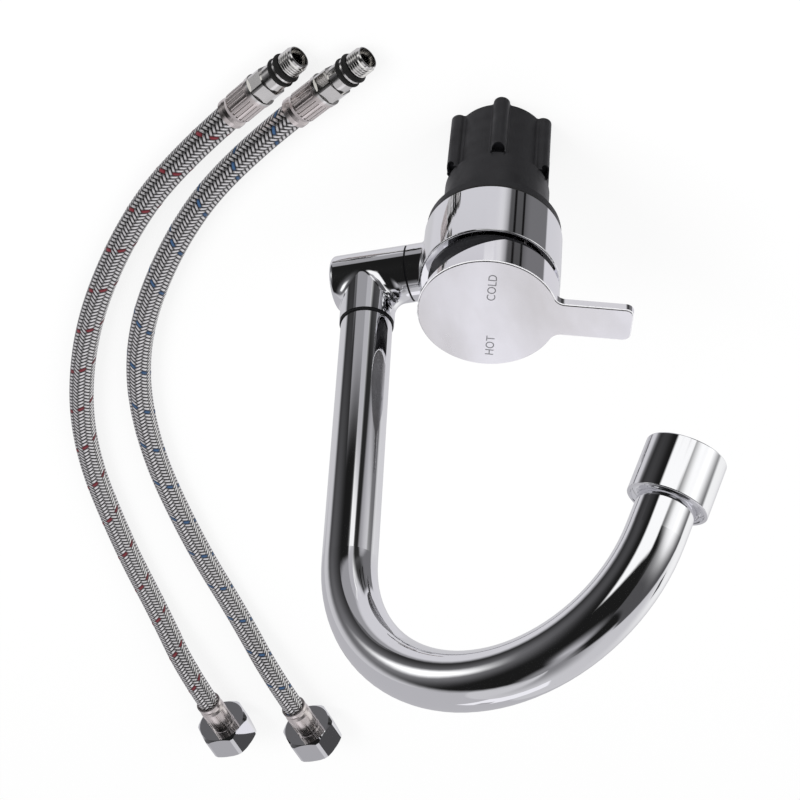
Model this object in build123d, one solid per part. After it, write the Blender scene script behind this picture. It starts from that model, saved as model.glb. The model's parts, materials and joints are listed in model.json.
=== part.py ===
"""Single-lever mixer tap with a fold-down swan-neck spout and its two connecting hoses.

The body axis is +Z, the deck that the tap stands on is the plane Z = 0, and the side
stub that carries the spout points along -X. Lengths are in millimetres, angles in degrees.
"""
import os
from math import cos, radians, sin, tan

from build123d import *

# Clearances
FIT = 0.05              # a part that turns or slides in its bore, on the radius
LOOSE = 0.1             # a part that is dropped into its seat, on the radius
THREAD_PLAY = 0.1       # thread crests, on the radius
JOINT_GAP = 0.05        # faces that slide past each other

# Body
BODY_R = 24.2
BODY_H = 22.8
BODY_EDGE = 0.6
CAVITY_R = 18.5
CAVITY_FLOOR = 4.0
BASE_SEAT_R = 16.4
STUB_Z = 11.1
STUB_R = 10.15
STUB_END = 28.5
STUB_BLEND = 1.2

# Base seal, flush in a groove of the underside
SEAL_IN_R = 18.8
SEAL_OUT_R = 22.4
SEAL_H = 1.6

# Threaded shank with the two inlets
SHANK_R = 14.0
SHANK_END = 48.0
SHANK_PITCH = 1.5
SHANK_THREAD = 0.75
SHANK_PLAIN = 2.0
SEAT_FLOOR = -6.0
INLET_Y = 6.5
INLET_R = 4.55
INLET_DEPTH = 12.0
INLET_SEAL_R = 5.85
INLET_SEAL_DEPTH = 5.0
INLET_PASSAGE_R = 2.6

# Clamp washer and backnut
WASHER_H = 1.2
WASHER_R = 23.9
NUT_FLANGE_R = 23.7
NUT_FLANGE_H = 3.2
NUT_FLARE = 2.6
NUT_COLLAR_R = 18.8
NUT_CORE_R = 17.3
NUT_END = 55.2
RIB_TOP = 25.6
RIB_COUNT = 6
RIB_TURN = 15.0
RIB_REACH = 20.7
RIB_R = 3.0
RIB_BLEND = 1.0
RIB_POCKET_R = 2.4
RIB_POCKET_H = 4.0
RIB_ARCH_RISE = 1.0

# Cartridge of 25 mm
CART_R = 12.5
CART_WALL = 1.1
CART_BASE_H = 3.0
CART_TOP = 14.5
CART_TOP_WALL = 2.3
CART_WINDOW_Z = 6.8
CART_WINDOW_H = 4.0
CART_WINDOW_W = 7.0
PORT_R = 2.6
PORT_SEAL_R = 4.0
PORT_SEAL_WIRE = 0.6
FIXED_DISC_R = 11.3
FIXED_DISC_H = 3.2
MOVING_DISC_R = 8.4
MOVING_DISC_H = 3.2
MIXING_R = 5.2
MIXING_DEPTH = 1.6
CARRIER_H = 2.7
CARRIER_BOSS = (9.0, 6.9)
CARRIER_BOSS_TOP = 8.4
DISC_OFFSET = -1.7
ROTOR_FLANGE_R = 11.0
ROTOR_FLANGE_Z = 9.8
ROTOR_FLANGE_H = 2.1
ROTOR_NECK_R = 8.0
ROTOR_TOP = 20.5
ROTOR_SLOT_X = 15.4
RAIL_BOTTOM = 6.6
RAIL_W = 2.4
RAIL_L = 18.0

# Spindle, which tilts on its pin
PIVOT_Z = 16.0
PIN_R = 1.5
SPINDLE_SIDE = 7.0
SPINDLE_SHOULDER = 19.0
HUB_R = 3.3
STEM_R = 2.0
BALL_R = 2.6
BALL_Z = 7.2
BALL_PLAY = 0.15

# Retaining nut, its seal and the dome cap
RET_NUT_R = CAVITY_R - 2 * LOOSE
RET_NUT_BOTTOM = 13.2
RET_NUT_TOP = BODY_H - 1.3
RET_NUT_PRESS = 2.5
RET_NUT_HOLE_R = 9.2
RET_SEAL_WIRE = 0.78
RET_SEAL_DEPTH = 1.4
RET_SEAL_RISE = 2.2

# Handle
LEVER_TURN = -18.0
HANDLE_R = 24.0
HANDLE_BOTTOM = BODY_H + 3.8
HANDLE_H = 11.7
HANDLE_TOP = HANDLE_BOTTOM + HANDLE_H
HANDLE_ROOF = 4.0
HANDLE_WALL = 3.4
HANDLE_BEVEL = 0.5
WEDGE_START = 3.5
WEDGE_ANGLE = 22.0
BOSS_R = 7.0
BOSS_BOTTOM = HANDLE_BOTTOM - 0.6
LEVER_TIP = 49.0
LEVER_W = 14.2
LEVER_T = 3.0
LEVER_CORNER = 3.0
LEVER_ROOT = 4.0
GRUB_R = 2.5
GRUB_Z = HANDLE_BOTTOM + 3.0
GRUB_L = 3.2
SPINDLE_TOP = HANDLE_TOP - HANDLE_ROOF - 1.1

# Dome cap, which stands inside the handle's skirt
DOME_R = HANDLE_R - 2.6
DOME_H = 4.2
DOME_HOLE_R = 12.6
DOME_WALL = 1.3
DOME_RIM_H = 0.7
DOME_SHOULDER_H = 2.3
DOME_CROWN_H = 3.7

# Elbow, which folds about the stub
ELBOW_X = 44.4
ELBOW_END = 56.6
ELBOW_EDGE = 1.6
FOLD_WASHER_H = 0.6
ELBOW_BORE_R = 5.0
NECK_R = 9.6
NECK_H = 20.0
NECK_BLEND = 6.0
NECK_BORE_R = 5.5
SOCKET_BOTTOM = 8.0
SPOUT_LEAN = 7.9
SLEEVE_R = 7.0
SLEEVE_BORE_R = 4.4
SLEEVE_PRESS = 7.0
O_RING_WIRE = 0.75
FOLD_SEAL_X = (20.2, 22.6)
FOLD_LOCK_X = 25.8
LOCK_GROOVE_W = 2.2
LOCK_GROOVE_DEPTH = 0.8
LOCK_SCREW_R = 1.0

# Spout, which swivels in the neck
SPOUT_TURN = 15.3
TUBE_R = 9.0
TUBE_WALL = 1.0
SWIVEL_RING_H = 0.8
SWIVEL_RING_R = NECK_R - 0.2
TUBE_STRAIGHT = 117.0
BEND_R = 55.6
BEND_SWEEP = 156.3
TAIL_R = 7.5
TAIL_BORE_R = 5.2
TAIL_PRESS = 10.0
SWIVEL_SEAL_Z = (10.2, 12.6)
SWIVEL_LOCK_Z = 16.2

# Aerator
CUP_R = 12.35
CUP_BORE_R = 11.35
CUP_L = 17.3
CUP_BACK = 10.0
CUP_LIP_R = 10.5
CUP_LIP_H = 1.8
END_RING_RECESS = 2.0
END_RING_H = 5.6
END_RING_COVE = 1.7
AERATOR_WASHER_H = 1.6
AERATOR_PLATE_H = 2.0
AERATOR_CELL_R = 0.95
AERATOR_CELL_STEP = 2.6

# Hoses
FLOOR_Z = -NUT_END
HOSE_R = 5.3
HOSE_BORE_R = 3.6
HOSE_FITTING_Z = 6.7
HOSE_LIE_Z = 5.4
FERRULE_R = 6.2
FERRULE_L = 14.0
FERRULE_LIP = 2.0
FLUTE_R = 0.45
BARB_END = 2.0 - FERRULE_L
CONNECTOR_R = 4.95
CONNECTOR_BORE_R = 3.0
CONNECTOR_PITCH = 1.0
CONNECTOR_THREAD = 0.5
CONNECTOR_TIP = 1.3
CONNECTOR_THREAD_L = 5.0
CONNECTOR_LIP_R = 6.6
CONNECTOR_LIP_H = 1.0
CONNECTOR_NECK_L = 4.0
CONNECTOR_MOUTH_R = 3.8
CONNECTOR_MOUTH_L = 5.5
SEAL_GROOVE_R = 3.7
SEAL_LAND_R = 5.3
SEAL_LAND_W = 0.8
CONNECTOR_SEAL_WIRE = 1.1
HEX_FLATS = 11.5
HEX_ROUND_R = 6.3
HEX_L = 6.0
UNION_FLATS = 24.0
UNION_L = 14.0
UNION_CORNER = 0.5
UNION_START = 2.2
UNION_WALL = 2.4
UNION_BORE_R = 9.35
UNION_PITCH = 1.8
UNION_THREAD = 1.0
TAIL_NECK_R = 4.6
TAIL_SEAT_R = 8.9
TAIL_SEAT_H = 2.2
NUT_WASHER_H = 2.2

# Hose routes on the floor, each from its connector to its union nut: x, y and the
# height of the centreline over the floor
NUT_LIE_Z = UNION_FLATS / 2 + 0.05
HOT_ROUTE = [
    (-80.5, 45.3, HOSE_FITTING_Z),
    (-121.0, 21.5, 6.0),
    (-158.0, -13.0, HOSE_LIE_Z),
    (-193.0, -60.0, HOSE_LIE_Z),
    (-217.0, -117.0, HOSE_LIE_Z),
    (-224.5, -185.0, HOSE_LIE_Z),
    (-226.0, -237.0, HOSE_LIE_Z),
    (-225.0, -276.0, NUT_LIE_Z),
    (-222.0, -314.0, NUT_LIE_Z),
]
COLD_ROUTE = [
    (-57.0, 40.4, HOSE_FITTING_Z),
    (-98.0, 18.0, 6.0),
    (-137.0, -17.0, HOSE_LIE_Z),
    (-172.0, -66.0, HOSE_LIE_Z),
    (-188.5, -122.0, HOSE_LIE_Z),
    (-191.5, -190.0, HOSE_LIE_Z),
    (-188.5, -246.0, HOSE_LIE_Z),
    (-184.5, -286.5, NUT_LIE_Z),
    (-180.4, -324.5, NUT_LIE_Z),
]


def rod(radius, low, high):
    """Cylinder about Z between two heights."""
    return Pos(0, 0, (low + high) / 2) * Cylinder(radius, high - low)


def ring(outer, inner, low, high):
    """Round ring about Z between two heights."""
    return rod(outer, low, high) - rod(inner, low, high)


def block(x, y, low, high):
    """Box centred on Z between two heights."""
    return Pos(0, 0, (low + high) / 2) * Box(x, y, high - low)


def turned(points):
    """Solid of revolution about Z from its (radius, height) outline."""
    outline = make_face(Polyline(*points, close=True).edges())
    return revolve(Plane.XZ * outline, Axis.Z)


def thread_points(root, crest, pitch, low, high):
    """Zigzag outline of a thread's flanks from the low end to the high end."""
    points = [(root, low)]
    turns = int((high - low) / pitch)
    for turn in range(turns):
        start = low + turn * pitch
        points += [(root, start + 0.12 * pitch), (crest, start + 0.44 * pitch)]
        points += [(crest, start + 0.68 * pitch), (root, start + pitch)]
    points.append((root, high))
    return [p for i, p in enumerate(points) if i == 0 or p != points[i - 1]]


def o_ring(radius, wire, height):
    """O-ring about Z."""
    return Pos(0, 0, height) * Torus(radius, wire)


# Each frame's +Z runs along its part: out along the stub, up the spout, round the handle
STUB = Plane(origin=(0, 0, STUB_Z), x_dir=(0, 1, 0), z_dir=(-1, 0, 0))
SPOUT_UP = Vector(0, -sin(radians(SPOUT_LEAN)), cos(radians(SPOUT_LEAN)))
ELBOW = Plane(origin=(-ELBOW_X, 0, STUB_Z), x_dir=(1, 0, 0), z_dir=SPOUT_UP)
SPOUT = Plane(ELBOW.location * Rot(0, 0, SPOUT_TURN))
HANDLE = Plane.XY.rotated((0, 0, LEVER_TURN))
BEND_END = SPOUT.from_local_coords(
    Vector(BEND_R * (1 - cos(radians(BEND_SWEEP))), 0, TUBE_STRAIGHT + BEND_R * sin(radians(BEND_SWEEP)))
)
OUTLET_DIR = (
    SPOUT.x_dir * sin(radians(BEND_SWEEP)) + SPOUT.z_dir * cos(radians(BEND_SWEEP))
)
OUTLET = Plane(origin=BEND_END, x_dir=SPOUT.y_dir, z_dir=OUTLET_DIR)


def place(plane, shape):
    """Move a shape drawn about the origin into a frame."""
    return plane.location * shape


def body_parts():
    """Chromed body with its side stub, and the seal in its underside."""
    drum = rod(BODY_R, 0, BODY_H)
    drum = fillet(drum.edges().group_by(Axis.Z)[-1], BODY_EDGE)
    body = drum + place(STUB, rod(STUB_R, BASE_SEAT_R, STUB_END))
    junction = [
        edge for edge in body.edges()
        if edge.bounding_box().max.X < -BASE_SEAT_R and edge.bounding_box().size.X > 1
    ]
    body = fillet(junction, STUB_BLEND)
    body -= rod(BASE_SEAT_R, 0, CAVITY_FLOOR)
    body -= rod(CAVITY_R, CAVITY_FLOOR, BODY_H)
    body -= ring(SEAL_OUT_R, SEAL_IN_R, 0, SEAL_H)
    body -= place(STUB, rod(SLEEVE_R + FIT, CART_R + 1, STUB_END))
    body -= place(STUB, Pos(0, 0, FOLD_LOCK_X) * Rot(0, -90, 0) * lock_hole(STUB_R + 1))
    seal = ring(SEAL_OUT_R, SEAL_IN_R, 0, SEAL_H)
    return {"body_shell": body, "base_seal": seal}


def lock_hole(reach):
    """Round hole from the axis outwards, for a lock screw."""
    return rod(LOCK_SCREW_R + 0.6, 0, reach)


def lock_screw(bore_r, groove_r, outer_r):
    """Grub screw whose dog point stands in a groove."""
    point = rod(LOCK_SCREW_R - 0.2, groove_r + JOINT_GAP, bore_r + 0.5)
    screw = point + rod(LOCK_SCREW_R + 0.6, bore_r + 0.3, outer_r - 0.4)
    socket = extrude(RegularPolygon(0.9, 6), 1.4)
    return screw - Pos(0, 0, outer_r - 1.8) * socket


def shank_parts():
    """Threaded shank: seat of the cartridge above, two inlets below."""
    thread = thread_points(SHANK_R - SHANK_THREAD, SHANK_R, SHANK_PITCH, -SHANK_END, -SHANK_PLAIN)
    outline = [(0, -SHANK_END)] + thread + [(SHANK_R - SHANK_THREAD, 0)]
    outline += [(BASE_SEAT_R, 0), (BASE_SEAT_R, CAVITY_FLOOR), (0, CAVITY_FLOOR)]
    shank = turned(outline)
    shank -= rod(CART_R + LOOSE, SEAT_FLOOR, CAVITY_FLOOR)
    seat = INLET_SEAL_DEPTH - SHANK_END
    for side in (-1, 1):
        inlet = rod(INLET_SEAL_R, -SHANK_END, seat) + rod(INLET_R, seat, seat + INLET_DEPTH)
        passage = rod(INLET_PASSAGE_R, seat + INLET_DEPTH, SEAT_FLOOR)
        shank -= Pos(0, side * INLET_Y, 0) * (inlet + passage)
    return {"threaded_shank": shank}


def clamp_parts():
    """Rubber clamp washer and the ribbed backnut under it."""
    bore = SHANK_R + THREAD_PLAY
    washer = ring(WASHER_R, bore + 0.3, -JOINT_GAP - WASHER_H, -JOINT_GAP)
    top = -2 * JOINT_GAP - WASHER_H
    flange_low = top - NUT_FLANGE_H
    flare_low = flange_low - NUT_FLARE
    with BuildSketch(Plane.XZ) as section:
        with BuildLine():
            Polyline(
                (NUT_COLLAR_R, flare_low), (NUT_COLLAR_R, -RIB_TOP), (NUT_CORE_R, -RIB_TOP),
                (NUT_CORE_R, -NUT_END), (bore, -NUT_END), (bore, top), (NUT_FLANGE_R, top),
                (NUT_FLANGE_R, flange_low),
            )
            ThreePointArc(
                (NUT_FLANGE_R, flange_low),
                (NUT_COLLAR_R + 0.29 * (NUT_FLANGE_R - NUT_COLLAR_R), flange_low - 0.29 * NUT_FLARE),
                (NUT_COLLAR_R, flare_low),
            )
        make_face()
    nut = revolve(section.sketch, Axis.Z)
    rib_centre = Pos(RIB_REACH - RIB_R, 0, 0)
    rib = rib_centre * rod(RIB_R, -NUT_END, -RIB_TOP) & ring(RIB_REACH + RIB_R, bore + 0.5, -NUT_END, -RIB_TOP)
    turns = [Rot(0, 0, RIB_TURN + index * 360 / RIB_COUNT) for index in range(RIB_COUNT)]
    for turn in turns:
        nut += turn * rib
    roots = [
        edge for edge in nut.edges().filter_by(GeomType.LINE)
        if abs(edge.length - (NUT_END - RIB_TOP)) < 0.01
    ]
    nut = fillet(roots, RIB_BLEND)
    arch = Rot(0, 90, 0) * rod(RIB_POCKET_R, RIB_REACH - RIB_R, RIB_REACH + 1)
    arch = Pos(0, 0, -RIB_TOP - RIB_ARCH_RISE) * arch & rod(RIB_REACH + 2, -NUT_END, -RIB_TOP)
    hollow = rib_centre * rod(RIB_POCKET_R, -RIB_TOP - RIB_POCKET_H, -RIB_TOP) - rod(NUT_CORE_R, -NUT_END, 0)
    for turn in turns:
        nut -= turn * (hollow + arch)
    return {"clamp_washer": washer, "backnut": nut}


def cartridge_parts():
    """Ceramic disc cartridge: base, discs, carrier, rotor, pin and housing."""
    base_top = SEAT_FLOOR + CART_BASE_H
    fixed_top = base_top + FIXED_DISC_H
    moving_low = fixed_top + JOINT_GAP
    moving_top = moving_low + MOVING_DISC_H
    carrier_top = moving_top + CARRIER_H
    ports = [Pos(0, side * INLET_Y, 0) for side in (-1, 1)]

    base = rod(CART_R, SEAT_FLOOR, base_top)
    seals = []
    fixed = rod(FIXED_DISC_R, base_top, fixed_top)
    groove_top = SEAT_FLOOR + 2 * PORT_SEAL_WIRE
    for port in ports:
        base -= port * rod(PORT_R, SEAT_FLOOR, base_top)
        base -= port * ring(
            PORT_SEAL_R + PORT_SEAL_WIRE, PORT_SEAL_R - PORT_SEAL_WIRE, SEAT_FLOOR, groove_top
        )
        seals.append(port * o_ring(PORT_SEAL_R, PORT_SEAL_WIRE, SEAT_FLOOR + PORT_SEAL_WIRE))
        fixed -= port * rod(PORT_R, base_top, fixed_top)

    moving = Pos(DISC_OFFSET, 0, 0) * rod(MOVING_DISC_R, moving_low, moving_top)
    moving -= Pos(DISC_OFFSET, 0, 0) * rod(MIXING_R, moving_low, moving_low + MIXING_DEPTH)

    socket_r = BALL_R + BALL_PLAY
    carrier = Pos(DISC_OFFSET, 0, 0) * rod(MOVING_DISC_R, moving_top, carrier_top)
    carrier += block(CARRIER_BOSS[0], CARRIER_BOSS[1], carrier_top, CARRIER_BOSS_TOP)
    carrier -= rod(socket_r, BALL_Z - BALL_R - BALL_PLAY, CARRIER_BOSS_TOP)

    rotor_top = ROTOR_FLANGE_Z + ROTOR_FLANGE_H
    rotor = rod(ROTOR_FLANGE_R, ROTOR_FLANGE_Z, rotor_top) + rod(ROTOR_NECK_R, rotor_top, ROTOR_TOP)
    slot_w = SPINDLE_SIDE + 2 * BALL_PLAY
    rotor -= block(ROTOR_SLOT_X, slot_w, ROTOR_FLANGE_Z, ROTOR_TOP)
    for side in (-1, 1):
        rail = block(RAIL_L, RAIL_W, RAIL_BOTTOM, ROTOR_FLANGE_Z)
        rotor += Pos(0, side * (slot_w + RAIL_W) / 2, 0) * rail
    pin_axis = Pos(0, 0, PIVOT_Z) * Rot(90, 0, 0)
    pin_half = (ROTOR_NECK_R**2 - PIN_R**2) ** 0.5 - 0.1
    rotor -= pin_axis * rod(PIN_R, -ROTOR_NECK_R, ROTOR_NECK_R)
    pin = pin_axis * rod(PIN_R, -pin_half, pin_half)

    inner_r = CART_R - CART_WALL
    housing = ring(CART_R, inner_r, base_top, CART_TOP)
    housing += ring(CART_R, ROTOR_NECK_R + LOOSE, CART_TOP - CART_TOP_WALL, CART_TOP)
    window = Box(CART_R + 2, CART_WINDOW_W, CART_WINDOW_H)
    for index in range(4):
        spot = Rot(0, 0, 45 + index * 90) * Pos(CART_R, 0, CART_WINDOW_Z)
        housing -= spot * window

    parts = {
        "moving_disc": moving,
        "disc_carrier": carrier,
        "cartridge_rotor": rotor,
        "spindle_pin": pin,
    }
    parts = {name: place(HANDLE, shape) for name, shape in parts.items()}
    parts["cartridge_base"] = base
    parts["inlet_seals"] = Compound(children=seals)
    parts["fixed_disc"] = fixed
    parts["cartridge_housing"] = housing
    return parts


def spindle_parts():
    """Spindle with its ball below, its hub on the pin and its square above."""
    stem = rod(STEM_R, BALL_Z, PIVOT_Z)
    ball = Pos(0, 0, BALL_Z) * Sphere(BALL_R)
    hub = Pos(0, 0, PIVOT_Z) * Rot(90, 0, 0) * rod(HUB_R, -SPINDLE_SIDE / 2, SPINDLE_SIDE / 2)
    throat = block(2 * HUB_R, SPINDLE_SIDE, PIVOT_Z, SPINDLE_SHOULDER)
    square = block(SPINDLE_SIDE, SPINDLE_SIDE, SPINDLE_SHOULDER, SPINDLE_TOP)
    spindle = stem + ball + hub + throat + square
    spindle -= Pos(0, 0, PIVOT_Z) * Rot(90, 0, 0) * rod(PIN_R + FIT, -SPINDLE_SIDE, SPINDLE_SIDE)
    return {"spindle": place(HANDLE, spindle)}


def cover_parts():
    """Retaining nut that holds the cartridge down, its O-ring and the dome cap."""
    seal_z = RET_NUT_BOTTOM + RET_SEAL_RISE
    groove_r = RET_NUT_R - RET_SEAL_DEPTH
    groove = ring(RET_NUT_R, groove_r, seal_z - RET_SEAL_WIRE, seal_z + RET_SEAL_WIRE)
    press_top = CART_TOP + RET_NUT_PRESS
    nut = ring(RET_NUT_R, CART_R + 2 * LOOSE, RET_NUT_BOTTOM, CART_TOP)
    nut += ring(RET_NUT_R, RET_NUT_HOLE_R, CART_TOP, press_top)
    nut += ring(RET_NUT_R, DOME_HOLE_R, press_top, RET_NUT_TOP)
    nut -= groove
    for index in range(RIB_COUNT):
        nut -= Rot(0, 0, index * 60) * Pos(DOME_HOLE_R, 0, 0) * block(3.0, 3.0, press_top, RET_NUT_TOP)
    seal = o_ring(groove_r + RET_SEAL_WIRE, RET_SEAL_WIRE, seal_z)

    top = BODY_H + DOME_H
    under = top - DOME_WALL
    middle = (DOME_R + DOME_HOLE_R) / 2
    dome = turned([
        (RET_NUT_R - DOME_WALL, RET_NUT_TOP),
        (RET_NUT_R, RET_NUT_TOP),
        (RET_NUT_R, BODY_H),
        (DOME_R, BODY_H),
        (DOME_R, BODY_H + DOME_RIM_H),
        (DOME_R - (DOME_SHOULDER_H - DOME_RIM_H), BODY_H + DOME_SHOULDER_H),
        (middle, BODY_H + DOME_CROWN_H),
        (DOME_HOLE_R + DOME_WALL, top),
        (DOME_HOLE_R, top),
        (DOME_HOLE_R, under),
        (DOME_HOLE_R + DOME_WALL, under),
        (middle - 0.6, BODY_H + DOME_SHOULDER_H),
        (RET_NUT_R - DOME_WALL, BODY_H + DOME_SHOULDER_H - 0.9),
    ])
    return {"retaining_nut": nut, "retaining_nut_seal": seal, "dome_cap": dome}


def handle_parts():
    """Disc and lever in one casting, with the wedge-cut skirt, and its grub screw."""
    roof_low = HANDLE_TOP - HANDLE_ROOF
    tip_x = LEVER_TIP - HANDLE_R / 2
    with BuildSketch() as outline:
        Circle(HANDLE_R)
        with Locations((HANDLE_R / 2 + tip_x / 2, 0)):
            Rectangle(tip_x, LEVER_W)
        corners = outline.vertices().group_by(Axis.X)
        fillet(corners[-1], LEVER_CORNER)
        roots = [v for v in outline.vertices() if abs(abs(v.Y) - LEVER_W / 2) < 0.01 and v.X < HANDLE_R]
        fillet(roots, LEVER_ROOT)
    plate = Pos(0, 0, HANDLE_TOP - LEVER_T) * extrude(outline.sketch, LEVER_T)
    plate = chamfer(plate.edges().group_by(Axis.Z)[-1], HANDLE_BEVEL)
    skirt = rod(HANDLE_R, HANDLE_BOTTOM, HANDLE_TOP - LEVER_T)
    handle = plate + skirt - rod(HANDLE_R - HANDLE_WALL, HANDLE_BOTTOM, roof_low)

    rise = (HANDLE_R + WEDGE_START) * tan(radians(WEDGE_ANGLE))
    wedge = make_face(Polyline(
        (WEDGE_START, HANDLE_BOTTOM), (-HANDLE_R, HANDLE_BOTTOM + rise),
        (-HANDLE_R - 5, HANDLE_BOTTOM + rise), (-HANDLE_R - 5, HANDLE_BOTTOM - 1),
        (WEDGE_START, HANDLE_BOTTOM - 1), close=True).edges())
    handle -= extrude(Plane.XZ * wedge, HANDLE_R + 5, both=True)

    boss = rod(BOSS_R, BOSS_BOTTOM, roof_low)
    side = SPINDLE_SIDE + 2 * FIT
    boss -= block(side, side, BOSS_BOTTOM, SPINDLE_TOP + 0.3)
    screw_axis = Pos(0, 0, GRUB_Z) * Rot(0, -90, 0)
    boss -= screw_axis * rod(GRUB_R, 0, BOSS_R + 1)
    screw = rod(GRUB_R, side / 2, side / 2 + GRUB_L)
    screw -= Pos(0, 0, side / 2 + GRUB_L - 1.6) * extrude(RegularPolygon(1.3, 6), 1.6)
    parts = {"handle": handle + boss, "handle_screw": screw_axis * screw}
    return {name: place(HANDLE, shape) for name, shape in parts.items()}


def elbow_parts():
    """T-shaped elbow and the sleeve, seals, washer and lock screw of its fold joint."""
    joint_x = ELBOW_X - STUB_END - FOLD_WASHER_H - 2 * JOINT_GAP
    along = Plane(origin=(0, 0, 0), x_dir=(0, 1, 0), z_dir=(1, 0, 0))
    end_x = ELBOW_X - ELBOW_END
    arm = place(along, rod(STUB_R, end_x, joint_x))
    arm = fillet(arm.edges().group_by(Axis.X)[0], ELBOW_EDGE)
    elbow = arm + rod(NECK_R, 0, NECK_H)
    blend = [
        edge for edge in elbow.edges()
        if edge.bounding_box().size.X > NECK_R and edge.bounding_box().size.Y > NECK_R
        and -1 < edge.bounding_box().min.Z and edge.bounding_box().max.Z < NECK_H - 1
    ]
    elbow = fillet(blend, NECK_BLEND)
    sleeve_end = joint_x - SLEEVE_PRESS
    elbow -= place(along, rod(SLEEVE_R, sleeve_end, joint_x))
    elbow -= place(along, rod(ELBOW_BORE_R, -ELBOW_BORE_R - 1, sleeve_end))
    elbow -= rod(NECK_BORE_R, 0, SOCKET_BOTTOM)
    elbow -= rod(TAIL_R + FIT, SOCKET_BOTTOM, NECK_H)
    elbow -= Pos(0, 0, SWIVEL_LOCK_Z) * Rot(90, 0, 0) * lock_hole(NECK_R + 1)

    inner = CAVITY_R + 0.4
    outer = ELBOW_X - sleeve_end
    sleeve = ring(SLEEVE_R, SLEEVE_BORE_R, inner, outer)
    seals = []
    for height in FOLD_SEAL_X:
        sleeve -= seal_groove(SLEEVE_R, height)
        seals.append(o_ring(SLEEVE_R - O_RING_WIRE, O_RING_WIRE, height))
    sleeve -= ring(
        SLEEVE_R, SLEEVE_R - LOCK_GROOVE_DEPTH,
        FOLD_LOCK_X - LOCK_GROOVE_W / 2, FOLD_LOCK_X + LOCK_GROOVE_W / 2,
    )
    washer_low = STUB_END + JOINT_GAP
    washer = ring(STUB_R - 0.3, SLEEVE_R + FIT, washer_low, washer_low + FOLD_WASHER_H)
    screw = lock_screw(SLEEVE_R + FIT, SLEEVE_R - LOCK_GROOVE_DEPTH, STUB_R)
    return {
        "elbow": place(ELBOW, elbow),
        "fold_sleeve": place(STUB, sleeve),
        "fold_seals": place(STUB, Compound(children=seals)),
        "fold_washer": place(STUB, washer),
        "fold_lock_screw": place(STUB, Pos(0, 0, FOLD_LOCK_X) * Rot(0, -90, 0) * screw),
    }


def seal_groove(radius, height):
    """Groove for an O-ring in a turned part."""
    return ring(
        radius, radius - 2 * O_RING_WIRE, height - O_RING_WIRE - LOOSE, height + O_RING_WIRE + LOOSE
    )


def spout_parts():
    """Spout tube, its tail in the neck, and the seals, ring and screw of the swivel."""
    ring_low = NECK_H + JOINT_GAP
    tube_low = ring_low + SWIVEL_RING_H
    inner_r = TUBE_R - TUBE_WALL
    straight = ring(TUBE_R, inner_r, tube_low, TUBE_STRAIGHT)
    section = Pos(0, 0, TUBE_STRAIGHT) * (Circle(TUBE_R) - Circle(inner_r))
    bend = revolve(section, Axis((BEND_R, 0, TUBE_STRAIGHT), (0, 1, 0)), BEND_SWEEP)
    end = ring(TUBE_R, inner_r, 0, CUP_BACK + END_RING_RECESS + END_RING_H)
    tube = place(SPOUT, straight + bend) + place(OUTLET, end)

    tail = ring(TAIL_R, TAIL_BORE_R, SOCKET_BOTTOM + 0.4, tube_low)
    tail += ring(inner_r, TAIL_BORE_R, tube_low, tube_low + TAIL_PRESS)
    seals = []
    for height in SWIVEL_SEAL_Z:
        tail -= seal_groove(TAIL_R, height)
        seals.append(o_ring(TAIL_R - O_RING_WIRE, O_RING_WIRE, height))
    tail -= ring(
        TAIL_R, TAIL_R - LOCK_GROOVE_DEPTH,
        SWIVEL_LOCK_Z - LOCK_GROOVE_W / 2, SWIVEL_LOCK_Z + LOCK_GROOVE_W / 2,
    )
    collar = ring(SWIVEL_RING_R, TAIL_R, ring_low, tube_low)
    screw = lock_screw(TAIL_R + FIT, TAIL_R - LOCK_GROOVE_DEPTH, NECK_R)
    return {
        "spout_tube": tube,
        "spout_tail": place(SPOUT, tail),
        "spout_seals": place(SPOUT, Compound(children=seals)),
        "swivel_ring": place(SPOUT, collar),
        "swivel_lock_screw": place(ELBOW, Pos(0, 0, SWIVEL_LOCK_Z) * Rot(90, 0, 0) * screw),
    }


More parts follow.
